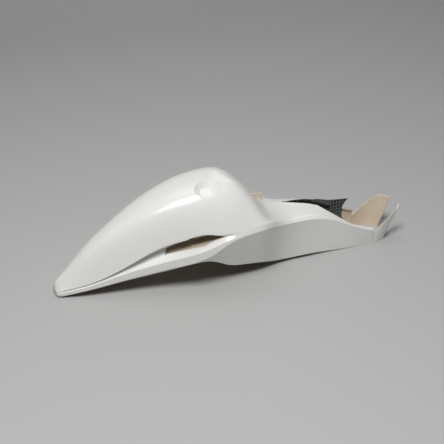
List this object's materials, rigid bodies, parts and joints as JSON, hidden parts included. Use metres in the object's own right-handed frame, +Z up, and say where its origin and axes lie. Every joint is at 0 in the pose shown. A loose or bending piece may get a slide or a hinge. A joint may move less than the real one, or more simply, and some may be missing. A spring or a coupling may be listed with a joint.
{
  "type": "motorcycle tail section",
  "caption": "One-piece moulded tail and seat hump for a race motorcycle, open underneath, with side vents, a notched seat front and horns.",
  "frame": {"origin": "centre of the bounding box at its bottom, where the part rests on the floor", "axes": "+X forward from the tail tip to the horns, +Y to the left, +Z up"},
  "size_m": [0.841, 0.2354, 0.2253],
  "materials": {
    "gelcoat": "gloss",
    "woven_cloth": "satin",
    "raw_laminate": "matt"
  },
  "bodies": {
    "root": {"tail_shell": "gelcoat", "cloth_panel": "woven_cloth", "stop_rib": "raw_laminate"}
  },
  "joints": []
}
